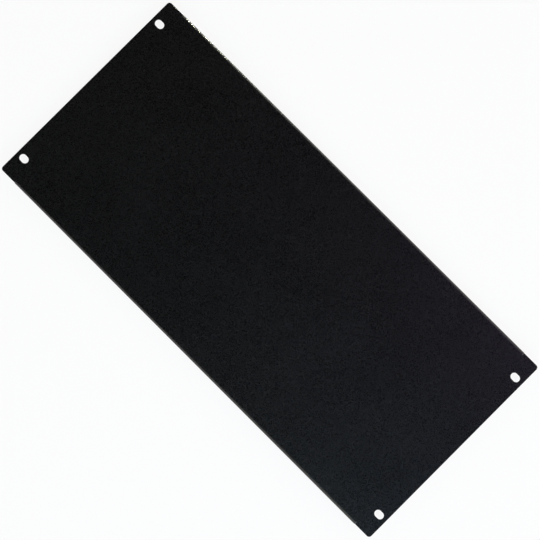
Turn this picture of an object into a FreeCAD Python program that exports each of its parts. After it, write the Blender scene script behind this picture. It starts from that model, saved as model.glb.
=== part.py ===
"""Five-unit blanking panel for a 19-inch rack: one folded steel sheet.

The panel lies face up on the free edges of its two flanges. X runs along its length, Y
across its height in the rack and +Z out of its front face. The origin is the middle of
the plane that the flange edges rest on. All sizes are in millimetres.

The sheet has a flat front face that ends in two mounting ears. Between the ears, both
long edges are folded back into flanges. A narrow relief slit at each end of a fold parts
it from the ear beside it, and each ear has two mounting slots that run along X.
"""

import FreeCAD, Part

import math
import os

import Sketcher

NODE = "blanking_panel"

# Driving dimensions: alias, value in mm, what it is.
DIMENSIONS = (
    ("panel_length", 482.6, "19-inch panel, over both ears"),
    ("ear_height", 221.4, "five units of 44.45, less clearance"),
    ("fold_height", 222.2, "over the outer faces of both flanges"),
    ("fold_length", 445.5, "each flange, inside the rack's 450 opening"),
    ("panel_depth", 12.7, "front face to the flange's free edge"),
    ("sheet_thickness", 1.5, "16 gauge steel"),
    ("inner_bend_radius", 1.0, "inside radius of each fold"),
    ("slit_width", 0.08, "lanced relief between a fold and its ear"),
    ("slit_overrun", 0.6, "the slit's run past the start of the bend"),
    ("slot_spacing_x", 465.1, "19-inch hole spacing across the rack"),
    ("slot_spacing_y", 177.8, "four units of 44.45 between middle holes"),
    ("slot_length", 9.5, "slot end to end, along X"),
    ("slot_width", 7.0, "slot across, along Y"),
    ("corner_radius", 3.0, "outer corners of the ears and flanges"),
    ("edge_break", 0.2, "bevel where a face of the sheet meets a cut side"),
)

# Expressions on the spreadsheet that more than one feature uses.
THICKNESS = "Dimensions.sheet_thickness"
OUTER_BEND = "Dimensions.inner_bend_radius + Dimensions.sheet_thickness"
REAR_FACE = "Dimensions.panel_depth - Dimensions.sheet_thickness"

# How the Sketcher numbers the ends and the centre of its geometry, and its own axes.
START = 1
END = 2
CENTRE = 3
ORIGIN = (-1, 1)
X_AXIS = -1

NEAR = 0.01  # mm, how closely a place or a length has to agree

document = FreeCAD.newDocument("RackBlankingPanel")


def make_spreadsheet():
    """The spreadsheet of driving dimensions, one row each."""
    made = document.addObject("Spreadsheet::Sheet", "Dimensions")
    for row, (alias, value, meaning) in enumerate(DIMENSIONS, start=1):
        made.set(f"A{row}", meaning)
        made.set(f"B{row}", str(value))
        made.setAlias(f"B{row}", alias)
    document.recompute()
    return made


sheet = make_spreadsheet()
body = document.addObject("PartDesign::Body", "BlankingPanel")
body.Label = NODE

# Places in the +X, +Y quarter that follow from the driving dimensions.
outer_bend_radius = sheet.inner_bend_radius + sheet.sheet_thickness
rear_z = sheet.panel_depth - sheet.sheet_thickness
bend_start_y = sheet.fold_height / 2 - outer_bend_radius
fold_end_x = sheet.fold_length / 2
ear_end_x = sheet.panel_length / 2
ear_y = sheet.ear_height / 2


# Sketch and feature helpers


def origin_plane(role):
    """The body's own origin plane that has this role."""
    return next(plane for plane in body.Origin.OriginFeatures if plane.Role == role)


def new_sketch(name, role, lift=None):
    """A sketch on an origin plane, moved along the plane's normal by an expression."""
    sketch = body.newObject("Sketcher::SketchObject", name)
    sketch.AttachmentSupport = [(origin_plane(role), "")]
    sketch.MapMode = "FlatFace"
    if lift:
        sketch.setExpression("AttachmentOffset.Base.z", lift)
    return sketch


def line(sketch, start, end):
    """Draws a line between two points and returns its index."""
    first = FreeCAD.Vector(*start, 0)
    last = FreeCAD.Vector(*end, 0)
    return sketch.addGeometry(Part.LineSegment(first, last), False)


def arc(sketch, centre, radius, first_degrees, last_degrees):
    """Draws an arc anticlockwise between two angles and returns its index."""
    circle = Part.Circle(FreeCAD.Vector(*centre, 0), FreeCAD.Vector(0, 0, 1), radius)
    first = math.radians(first_degrees)
    last = math.radians(last_degrees)
    return sketch.addGeometry(Part.ArcOfCircle(circle, first, last), False)


def relate(sketch, kind, *where):
    """Adds a geometric constraint, such as Horizontal or Tangent."""
    sketch.addConstraint(Sketcher.Constraint(kind, *where))


def size(sketch, name, kind, expression, *where):
    """Adds a named dimension that an expression on the spreadsheet drives."""
    value = float(body.evalExpression(expression))
    index = sketch.addConstraint(Sketcher.Constraint(kind, *where, value))
    sketch.renameConstraint(index, name)
    sketch.setExpression(f"Constraints.{name}", expression)


def pad(name, sketch, length, kind):
    """Pads a sketch by an expression, kind being One side or Symmetric."""
    made = body.newObject("PartDesign::Pad", name)
    made.Profile = sketch
    made.SideType = kind
    made.setExpression("Length", length)
    return made


def pocket(name, sketch):
    """Cuts a sketch on the front face back through the sheet's thickness."""
    made = body.newObject("PartDesign::Pocket", name)
    made.Profile = sketch
    made.setExpression("Length", THICKNESS)
    document.recompute()
    return made


def mirrored(name, role):
    """A mirror image about one of the body's origin planes."""
    made = body.newObject("PartDesign::Mirrored", name)
    made.MirrorPlane = (origin_plane(role), [""])
    return made


def repeated(name, feature, *steps):
    """A feature repeated by patterns or mirrors that follow one another."""
    made = body.newObject("PartDesign::MultiTransform", name)
    made.Originals = [feature]
    made.Transformations = list(steps)
    body.Tip = made
    return made


# The sheet, in the order in which its features are made


def draw_section(sketch):
    """The folded channel's section: a flat face with a bend and a flange at each side."""
    half = sheet.fold_height / 2
    inner_y = half - sheet.sheet_thickness
    bend_z = sheet.panel_depth - outer_bend_radius
    front = line(sketch, (-bend_start_y, sheet.panel_depth), (bend_start_y, sheet.panel_depth))
    rear = line(sketch, (-bend_start_y, rear_z), (bend_start_y, rear_z))
    relate(sketch, "Horizontal", front)
    relate(sketch, "Horizontal", rear)
    size(sketch, "Depth", "DistanceY", "Dimensions.panel_depth", *ORIGIN, front, START)
    size(sketch, "Face", "DistanceY", THICKNESS, rear, START, front, START)

    for name, side in (("Lower", -1), ("Upper", 1)):
        # Arcs run anticlockwise, so the two bends meet the face at opposite ends.
        at_face, at_wall = (END, START) if side > 0 else (START, END)
        angles = (0, 90) if side > 0 else (90, 180)
        centre = (side * bend_start_y, bend_z)
        outer_bend = arc(sketch, centre, outer_bend_radius, *angles)
        inner_bend = arc(sketch, centre, sheet.inner_bend_radius, *angles)
        outer_wall = line(sketch, (side * half, bend_z), (side * half, 0))
        inner_wall = line(sketch, (side * inner_y, bend_z), (side * inner_y, 0))
        free_edge = line(sketch, (side * half, 0), (side * inner_y, 0))

        relate(sketch, "Tangent", front, at_face, outer_bend, at_face)
        relate(sketch, "Tangent", rear, at_face, inner_bend, at_face)
        relate(sketch, "Tangent", outer_wall, START, outer_bend, at_wall)
        relate(sketch, "Tangent", inner_wall, START, inner_bend, at_wall)
        relate(sketch, "Coincident", outer_wall, END, free_edge, START)
        relate(sketch, "Coincident", inner_wall, END, free_edge, END)
        relate(sketch, "Vertical", outer_wall)
        relate(sketch, "Vertical", inner_wall)
        relate(sketch, "Horizontal", free_edge)
        relate(sketch, "PointOnObject", free_edge, START, X_AXIS)

        # Distances are positive to the right, so the lower half is measured backwards.
        ends = (ORIGIN, (outer_wall, END)) if side > 0 else ((outer_wall, END), ORIGIN)
        size(sketch, f"{name}Half", "DistanceX", "Dimensions.fold_height / 2", *ends[0], *ends[1])
        size(sketch, f"{name}Wall", "Distance", THICKNESS, free_edge)
        size(sketch, f"{name}Outer", "Radius", OUTER_BEND, outer_bend)
        size(sketch, f"{name}Inner", "Radius", "Dimensions.inner_bend_radius", inner_bend)


def make_channel():
    """The front face with both flanges, extruded equally each way from the middle."""
    section = new_sketch("ChannelSection", "YZ_Plane")
    draw_section(section)
    return pad("Channel", section, "Dimensions.fold_length", "Symmetric")


def draw_ear(sketch):
    """The +X ear: a rectangle from the end of the channel to the end of the panel."""
    inner = line(sketch, (fold_end_x, ear_y), (fold_end_x, -ear_y))
    lower = line(sketch, (fold_end_x, -ear_y), (ear_end_x, -ear_y))
    outer = line(sketch, (ear_end_x, -ear_y), (ear_end_x, ear_y))
    upper = line(sketch, (ear_end_x, ear_y), (fold_end_x, ear_y))
    sides = (inner, lower, outer, upper)
    for side, following in zip(sides, sides[1:] + sides[:1]):
        relate(sketch, "Coincident", side, END, following, START)
    relate(sketch, "Vertical", inner)
    relate(sketch, "Horizontal", lower)
    relate(sketch, "Horizontal", upper)
    relate(sketch, "Symmetric", outer, START, outer, END, X_AXIS)
    size(sketch, "Start", "DistanceX", "Dimensions.fold_length / 2", *ORIGIN, inner, START)
    size(sketch, "End", "DistanceX", "Dimensions.panel_length / 2", *ORIGIN, outer, END)
    size(sketch, "Height", "Distance", "Dimensions.ear_height", outer)


def make_ears():
    """The +X ear and its mirror image, in the plane of the front face."""
    outline = new_sketch("EarOutline", "XY_Plane", REAR_FACE)
    draw_ear(outline)
    ear = pad("Ear", outline, THICKNESS, "One side")
    document.recompute()
    ears = mirrored("Ears", "YZ_Plane")
    ears.Originals = [ear]
    body.Tip = ears
    return ears


def draw_slit(sketch):
    """The +X, +Y relief slit: open past the ear's edge, with a round inner end."""
    radius = sheet.slit_width / 2
    middle_x = fold_end_x + radius
    end_y = bend_start_y - sheet.slit_overrun
    mouth_y = sheet.fold_height / 2
    inner_end = arc(sketch, (middle_x, end_y), radius, 180, 360)
    ear_wall = line(sketch, (middle_x + radius, end_y), (middle_x + radius, mouth_y))
    mouth = line(sketch, (middle_x + radius, mouth_y), (middle_x - radius, mouth_y))
    fold_wall = line(sketch, (middle_x - radius, mouth_y), (middle_x - radius, end_y))
    relate(sketch, "Tangent", inner_end, END, ear_wall, START)
    relate(sketch, "Coincident", ear_wall, END, mouth, START)
    relate(sketch, "Coincident", mouth, END, fold_wall, START)
    relate(sketch, "Tangent", fold_wall, END, inner_end, START)
    relate(sketch, "Vertical", ear_wall)
    relate(sketch, "Horizontal", mouth)
    relate(sketch, "Vertical", fold_wall)
    end = f"Dimensions.fold_height / 2 - ({OUTER_BEND}) - Dimensions.slit_overrun"
    size(sketch, "Wall", "DistanceX", "Dimensions.fold_length / 2", *ORIGIN, fold_wall, START)
    size(sketch, "Width", "Distance", "Dimensions.slit_width", mouth)
    size(sketch, "Mouth", "DistanceY", "Dimensions.fold_height / 2", *ORIGIN, fold_wall, START)
    size(sketch, "InnerEnd", "DistanceY", end, *ORIGIN, inner_end, CENTRE)


def make_slits():
    """One relief slit, mirrored to the ends of both folds."""
    outline = new_sketch("SlitOutline", "XY_Plane", "Dimensions.panel_depth")
    draw_slit(outline)
    slit = pocket("Slit", outline)
    across = mirrored("SlitsAcrossPanel", "YZ_Plane")
    below = mirrored("SlitsBelow", "XZ_Plane")
    return repeated("Slits", slit, across, below)


def draw_slot(sketch):
    """The round-ended slot of the +X ear at its lowest rack unit."""
    x = sheet.slot_spacing_x / 2
    y = -sheet.slot_spacing_y / 2
    radius = sheet.slot_width / 2
    reach = (sheet.slot_length - sheet.slot_width) / 2
    right = arc(sketch, (x + reach, y), radius, -90, 90)
    left = arc(sketch, (x - reach, y), radius, 90, 270)
    upper = line(sketch, (x + reach, y + radius), (x - reach, y + radius))
    lower = line(sketch, (x - reach, y - radius), (x + reach, y - radius))
    relate(sketch, "Tangent", right, END, upper, START)
    relate(sketch, "Tangent", upper, END, left, START)
    relate(sketch, "Tangent", left, END, lower, START)
    relate(sketch, "Tangent", lower, END, right, START)
    relate(sketch, "Horizontal", upper)
    relate(sketch, "Horizontal", lower)
    straight = "Dimensions.slot_length - Dimensions.slot_width"
    left_end = f"Dimensions.slot_spacing_x / 2 - ({straight}) / 2"
    size(sketch, "EndRadius", "Radius", "Dimensions.slot_width / 2", right)
    size(sketch, "Straight", "Distance", straight, upper)
    size(sketch, "AcrossRack", "DistanceX", left_end, *ORIGIN, left, CENTRE)
    size(sketch, "BelowMiddle", "DistanceY", "Dimensions.slot_spacing_y / 2", left, CENTRE, *ORIGIN)


def make_slots():
    """One mounting slot, repeated up its ear and mirrored to the other ear."""
    outline = new_sketch("SlotOutline", "XY_Plane", "Dimensions.panel_depth")
    draw_slot(outline)
    slot = pocket("Slot", outline)
    up_ear = body.newObject("PartDesign::LinearPattern", "SlotsUpEar")
    up_ear.Direction = (outline, ["V_Axis"])
    up_ear.setExpression("Length", "Dimensions.slot_spacing_y")
    up_ear.Occurrences = 2
    across = mirrored("SlotsAcrossPanel", "YZ_Plane")
    return repeated("Slots", slot, up_ear, across)


# Corners and edges


def crosses_sheet(edge):
    """A straight edge that runs through the sheet's thickness."""
    straight = isinstance(edge.Curve, Part.Line)
    return straight and abs(edge.Length - sheet.sheet_thickness) < NEAR


def is_outer_corner(shape, edge):
    """A corner through the thickness, at the end of an ear or the foot of a flange."""
    middle = edge.CenterOfMass
    on_ear = abs(abs(middle.x) - ear_end_x) < NEAR and abs(abs(middle.y) - ear_y) < NEAR
    on_flange = abs(abs(middle.x) - fold_end_x) < NEAR and abs(middle.z) < NEAR
    return crosses_sheet(edge) and (on_ear or on_flange)


def is_sheet_edge(shape, edge):
    """A sharp edge between a face of the sheet and one of its cut sides."""
    middle = edge.valueAt((edge.FirstParameter + edge.LastParameter) / 2)
    faces = shape.ancestorsOfType(edge, Part.Face)
    normals = [face.normalAt(*face.Surface.parameter(middle)) for face in faces]
    return not crosses_sheet(edge) and abs(normals[0].dot(normals[1])) < 0.5


def dress(name, kind, base, wanted, length, expression):
    """A Fillet or Chamfer on the edges of a feature that a condition picks out."""
    document.recompute()
    shape = base.Shape
    numbered = enumerate(shape.Edges, start=1)
    names = [f"Edge{number}" for number, edge in numbered if wanted(shape, edge)]
    made = body.newObject(f"PartDesign::{kind}", name)
    made.Base = (base, names)
    made.setExpression(length, expression)
    document.recompute()
    print(f"{name}: {len(names)} edges")
    return made


# Checks


def check_cut(pattern, before, area):
    """Stops unless a pattern removed four openings of this area through the sheet."""
    removed = before.Shape.Volume - pattern.Shape.Volume
    expected = 4 * area * sheet.sheet_thickness
    print(f"{pattern.Name}: removed {removed:.2f} mm3, expected {expected:.2f}")
    if abs(removed - expected) > NEAR * expected:
        raise SystemExit(f"{pattern.Name} removed the wrong volume")


def check_document():
    """Stops if a sketch is loose or any object failed, is empty or isn't valid."""
    for item in document.Objects:
        if "Invalid" in item.State or "Error" in item.State:
            raise SystemExit(f"{item.Name} failed: {item.State}")
        if item.TypeId == "Sketcher::SketchObject" and not item.FullyConstrained:
            raise SystemExit(f"{item.Name} isn't fully constrained")
    if body.Shape.isNull() or not body.Shape.isValid() or len(body.Shape.Solids) != 1:
        raise SystemExit("the panel isn't one valid solid")


make_channel()
ears = make_ears()
slits = make_slits()
slots = make_slots()
corners = dress("Corners", "Fillet", slots, is_outer_corner, "Radius", "Dimensions.corner_radius")
edges = dress("Edges", "Chamfer", corners, is_sheet_edge, "Size", "Dimensions.edge_break")
body.Tip = edges
document.recompute()

# Only the part of a slit that lies within the ear's height removes material.
slit_radius = sheet.slit_width / 2
slit_reach = ear_y - bend_start_y + sheet.slit_overrun
slot_radius = sheet.slot_width / 2
slot_straight = sheet.slot_length - sheet.slot_width
check_cut(slits, ears, sheet.slit_width * slit_reach + math.pi * slit_radius**2 / 2)
check_cut(slots, slits, sheet.slot_width * slot_straight + math.pi * slot_radius**2)
check_document()

box = body.Shape.BoundBox
print(f"{NODE}: {box.XLength:.2f} x {box.YLength:.2f} x {box.ZLength:.2f} mm")
print(f"volume {body.Shape.Volume:.0f} mm3, {len(body.Shape.Faces)} faces")

os.makedirs("parts", exist_ok=True)
body.Shape.exportStep(f"parts/{NODE}.step")
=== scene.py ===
"""A folded, powder-coated rack blanking panel lying face up on a white studio floor.

Lengths are in metres and colours are linear.
"""

import math

import bmesh
import bpy
from mathutils import Matrix, Vector


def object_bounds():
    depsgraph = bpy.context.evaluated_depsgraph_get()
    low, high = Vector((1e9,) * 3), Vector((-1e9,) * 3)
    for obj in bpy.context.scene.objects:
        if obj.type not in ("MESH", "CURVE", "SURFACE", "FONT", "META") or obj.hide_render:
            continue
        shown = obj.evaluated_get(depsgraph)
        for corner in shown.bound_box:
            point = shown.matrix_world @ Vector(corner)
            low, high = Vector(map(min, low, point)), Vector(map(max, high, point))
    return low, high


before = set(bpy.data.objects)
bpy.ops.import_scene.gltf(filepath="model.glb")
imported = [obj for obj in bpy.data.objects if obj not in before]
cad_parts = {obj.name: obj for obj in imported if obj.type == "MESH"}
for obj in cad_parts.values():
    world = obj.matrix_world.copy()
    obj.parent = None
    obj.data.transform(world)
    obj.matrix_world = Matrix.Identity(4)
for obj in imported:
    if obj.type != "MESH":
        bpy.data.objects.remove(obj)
cad_box = [list(corner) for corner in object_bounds()]
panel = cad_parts["blanking_panel"]
lowest, highest = (Vector(corner) for corner in cad_box)
face_z = highest.z

MM = 0.001
CENTRE = (0, 0, 0)
WHITE = (1.0, 1.0, 1.0, 1.0)

# Camera: high above the face, turned so that the panel's length runs down to the right.
CAMERA_TURN = math.radians(45)
CAMERA_HEIGHT = 2.0
CAMERA_OFFSET = (0.105, -0.070)
AIM = (0.0026, -0.0006)
FIELD_WIDTH = 0.4995
SENSOR_WIDTH_MM = 36.0
CLIP_START = 0.05
CLIP_END = 50.0

# Studio: a round floor that curves up into a wall, open above.
WALL_RADIUS = 4.0
WALL_HEIGHT = 3.0
COVE_RADIUS = 0.6
COVE_STEPS = 8
TURN_STEPS = 96
PAPER_WHITE = 0.85
BACKDROP_SHARE = 0.9
ROOM_LEVEL = 0.02

# Lamps: every level is the irradiance, in W/m2, at the point that the lamp is aimed at.
# Ring: level light from all round, stronger toward the panel's right end.
RING_COUNT = 8
RING_RADIUS = 2.2
RING_HEIGHT = 1.5
RING_SIZE = 1.4
RING_LEVEL = 0.47
RING_TILT = 0.7
RING_TURN = math.radians(-10)
RING_COLOUR = (1.0, 0.96, 0.84)

# Key: past the upper flange's left half and lower than the face.
KEY_PLACE = (-0.30, 0.71, 0.0065)
KEY_AIM = (-0.18, 0.11, 0.0065)
KEY_SIZE = 0.012
KEY_LEVEL = 2.2
KEY_COLOUR = (1.0, 1.0, 0.75)

# Cards: name, place, level and colour.
CARD_SIZE = 0.6
CARDS = (
    ("blue_card", (0.9, -0.7, 1.5), 1.0, (0.1, 0.5, 1.0)),
    ("lower_card", (0.45, -0.7, 1.5), 0.2, (1.0, 0.9, 0.5)),
    ("upper_card", (0.45, 0.7, 1.5), 0.2, (0.8, 0.5, 1.0)),
)

# Powder coat: the grain moves colour and roughness, the peel height, the cloud roughness.
COAT_COLOUR = (0.0015, 0.0015, 0.0014)
COAT_ROUGHNESS = 0.32
COAT_IOR = 1.5
GRAIN_SIZE = 0.5 * MM
GRAIN_ROUGHNESS = 0.07
GRAIN_SHADE = 0.8
PEEL_SIZE = 2.0 * MM
PEEL_HEIGHT = 0.015 * MM
CLOUD_SIZE = 60 * MM
CLOUD_ROUGHNESS = 0.01
NOISE_STRETCH = 5.0


class Nodes:
    """A material's node tree, with short ways to add nodes and join them."""

    def __init__(self, tree):
        self.tree = tree
        self.tree.nodes.clear()

    def add(self, kind, inputs=None, **settings):
        """Adds a node. An input is a constant or the socket that feeds it."""
        node = self.tree.nodes.new(kind)
        for name, value in settings.items():
            setattr(node, name, value)
        for name, value in (inputs or {}).items():
            if isinstance(value, bpy.types.NodeSocket):
                self.tree.links.new(value, node.inputs[name])
            else:
                node.inputs[name].default_value = value
        return node

    def math(self, operation, *values):
        """The result of a math node on constants or sockets."""
        inputs = dict(enumerate(values))
        return self.add("ShaderNodeMath", inputs, operation=operation).outputs[0]


def make_powder_coat():
    """Black satin powder coat: a grain uneven in colour and gloss, over a soft peel in height."""
    material = bpy.data.materials.new("black_powder_coat")
    material.use_nodes = True
    nodes = Nodes(material.node_tree)
    place = nodes.add("ShaderNodeTexCoord").outputs["Object"]

    def noise(size):
        """A smooth noise of this size whose values lie round 0, mostly from -1 to 1."""
        inputs = {"Vector": place, "Scale": 1 / size, "Detail": 1.0}
        value = nodes.add("ShaderNodeTexNoise", inputs).outputs["Fac"]
        return nodes.math("MULTIPLY_ADD", value, NOISE_STRETCH, -NOISE_STRETCH / 2)

    # Each cell's lot, from 0 to 1, is squared so that few are high, then scaled to a mean of 0.
    cells = nodes.add("ShaderNodeTexVoronoi", {"Vector": place, "Scale": 1 / GRAIN_SIZE})
    lots = nodes.add("ShaderNodeSeparateColor", {"Color": cells.outputs["Color"]})
    few_high = nodes.math("MULTIPLY", lots.outputs["Red"], lots.outputs["Red"])
    grain = nodes.math("MULTIPLY_ADD", few_high, 3.0, -1.0)
    peel = noise(PEEL_SIZE)
    cloud = noise(CLOUD_SIZE)

    shade = nodes.math("MULTIPLY_ADD", grain, GRAIN_SHADE, 1.0)
    colour = nodes.add(
        "ShaderNodeVectorMath", {0: COAT_COLOUR, "Scale": shade}, operation="SCALE"
    )
    rough = nodes.math("MULTIPLY_ADD", grain, GRAIN_ROUGHNESS, COAT_ROUGHNESS)
    rough = nodes.math("MULTIPLY_ADD", cloud, CLOUD_ROUGHNESS, rough)
    bump = nodes.add(
        "ShaderNodeBump", {"Height": peel, "Distance": PEEL_HEIGHT, "Strength": 1.0}
    )
    shader = nodes.add(
        "ShaderNodeBsdfPrincipled",
        {
            "Base Color": colour.outputs["Vector"],
            "Roughness": rough,
            "IOR": COAT_IOR,
            "Normal": bump.outputs["Normal"],
        },
    )
    nodes.add("ShaderNodeOutputMaterial", {"Surface": shader.outputs["BSDF"]})
    return material


def make_paper():
    """White paper that shows as a white backdrop, but lights and shades as paper does."""
    material = bpy.data.materials.new("white_paper")
    material.use_nodes = True
    nodes = Nodes(material.node_tree)
    paper_colour = (PAPER_WHITE, PAPER_WHITE, PAPER_WHITE, 1.0)
    paper = nodes.add("ShaderNodeBsdfDiffuse", {"Color": paper_colour})
    white = nodes.add("ShaderNodeEmission", {"Color": WHITE, "Strength": 1.0})
    rays = nodes.add("ShaderNodeLightPath").outputs
    seen = nodes.math("MAXIMUM", rays["Is Camera Ray"], rays["Is Glossy Ray"])
    seen = nodes.math("MAXIMUM", seen, rays["Is Transmission Ray"])
    share = nodes.math("MULTIPLY", seen, BACKDROP_SHARE)
    mix = nodes.add(
        "ShaderNodeMixShader",
        {"Fac": share, 1: paper.outputs["BSDF"], 2: white.outputs["Emission"]},
    )
    nodes.add("ShaderNodeOutputMaterial", {"Surface": mix.outputs["Shader"]})
    return material


def make_studio():
    """A round floor under the flanges' free edges, with a cove and a wall all round it."""
    profile = [(WALL_RADIUS - COVE_RADIUS, 0.0)]
    for step in range(1, COVE_STEPS + 1):
        angle = math.pi / 2 * step / COVE_STEPS
        out = WALL_RADIUS - COVE_RADIUS * (1 - math.sin(angle))
        profile.append((out, COVE_RADIUS * (1 - math.cos(angle))))
    profile.append((WALL_RADIUS, WALL_HEIGHT))

    shape = bmesh.new()
    turns = [2 * math.pi * step / TURN_STEPS for step in range(TURN_STEPS)]
    rings = []
    for radius, height in profile:
        corners = [(radius * math.cos(turn), radius * math.sin(turn), height) for turn in turns]
        rings.append([shape.verts.new(corner) for corner in corners])
    shape.faces.new(rings[0])
    for lower, upper in zip(rings, rings[1:]):
        for step in range(TURN_STEPS):
            following = (step + 1) % TURN_STEPS
            corners = (lower[step], lower[following], upper[following], upper[step])
            shape.faces.new(corners).smooth = True
    mesh = bpy.data.meshes.new("studio")
    shape.to_mesh(mesh)
    shape.free()

    studio = bpy.data.objects.new("studio", mesh)
    studio.location = (0, 0, lowest.z)
    studio.data.materials.append(make_paper())
    bpy.context.scene.collection.objects.link(studio)


def make_world():
    """A dim grey ceiling over the open top of the studio."""
    world = bpy.data.worlds.new("ceiling")
    world.use_nodes = True
    nodes = Nodes(world.node_tree)
    room = nodes.add("ShaderNodeBackground", {"Color": WHITE, "Strength": ROOM_LEVEL})
    nodes.add("ShaderNodeOutputWorld", {"Surface": room.outputs["Background"]})
    bpy.context.scene.world = world


def make_softbox(name, place, aim, size, level, colour):
    """A square area lamp whose power gives about this level at the point aimed at."""
    place, aim = Vector(place), Vector(aim)
    distance = (aim - place).length
    data = bpy.data.lights.new(name, "AREA")
    data.shape = "SQUARE"
    data.size = size
    data.energy = level * math.pi * distance**2
    data.color = colour
    lamp = bpy.data.objects.new(name, data)
    lamp.location = place
    lamp.rotation_euler = (aim - place).to_track_quat("-Z", "Y").to_euler()
    lamp.visible_camera = False
    bpy.context.scene.collection.objects.link(lamp)


def make_ring():
    """Softboxes at middle height, so that the face mirrors the dark ceiling to the camera."""
    for index in range(RING_COUNT):
        turn = 2 * math.pi * index / RING_COUNT
        place = (RING_RADIUS * math.cos(turn), RING_RADIUS * math.sin(turn), RING_HEIGHT)
        level = RING_LEVEL * (1 + RING_TILT * math.cos(turn - RING_TURN))
        make_softbox(f"ring_{index}", place, CENTRE, RING_SIZE, level, RING_COLOUR)


def make_lamps():
    """The ring, a small warm key and three dim cards.

    The key is lower than the face, so only the flange and its bend see it, and the face
    doesn't mirror it in low views.
    """
    make_ring()
    make_softbox("key", KEY_PLACE, KEY_AIM, KEY_SIZE, KEY_LEVEL, KEY_COLOUR)
    for name, place, level, colour in CARDS:
        make_softbox(name, place, CENTRE, CARD_SIZE, level, colour)


def make_camera():
    """A long lens that looks down on the face."""
    data = bpy.data.cameras.new("camera")
    camera = bpy.data.objects.new("camera", data)
    aim = Vector((*AIM, face_z))
    camera.location = aim + Vector((*CAMERA_OFFSET, CAMERA_HEIGHT))
    back = (camera.location - aim).normalized()
    up = Vector((-math.sin(CAMERA_TURN), math.cos(CAMERA_TURN), 0))
    right = up.cross(back).normalized()
    up = back.cross(right)
    camera.rotation_euler = Matrix((right, up, back)).transposed().to_euler()
    data.sensor_width = SENSOR_WIDTH_MM
    data.lens = SENSOR_WIDTH_MM * (camera.location - aim).length / FIELD_WIDTH
    data.clip_start = CLIP_START
    data.clip_end = CLIP_END
    bpy.context.scene.collection.objects.link(camera)
    bpy.context.scene.camera = camera


powder_coat = make_powder_coat()
for slot in panel.material_slots:
    slot.material = powder_coat

make_studio()
make_world()
make_lamps()
make_camera()

bpy.context.scene.view_settings.view_transform = "Standard"
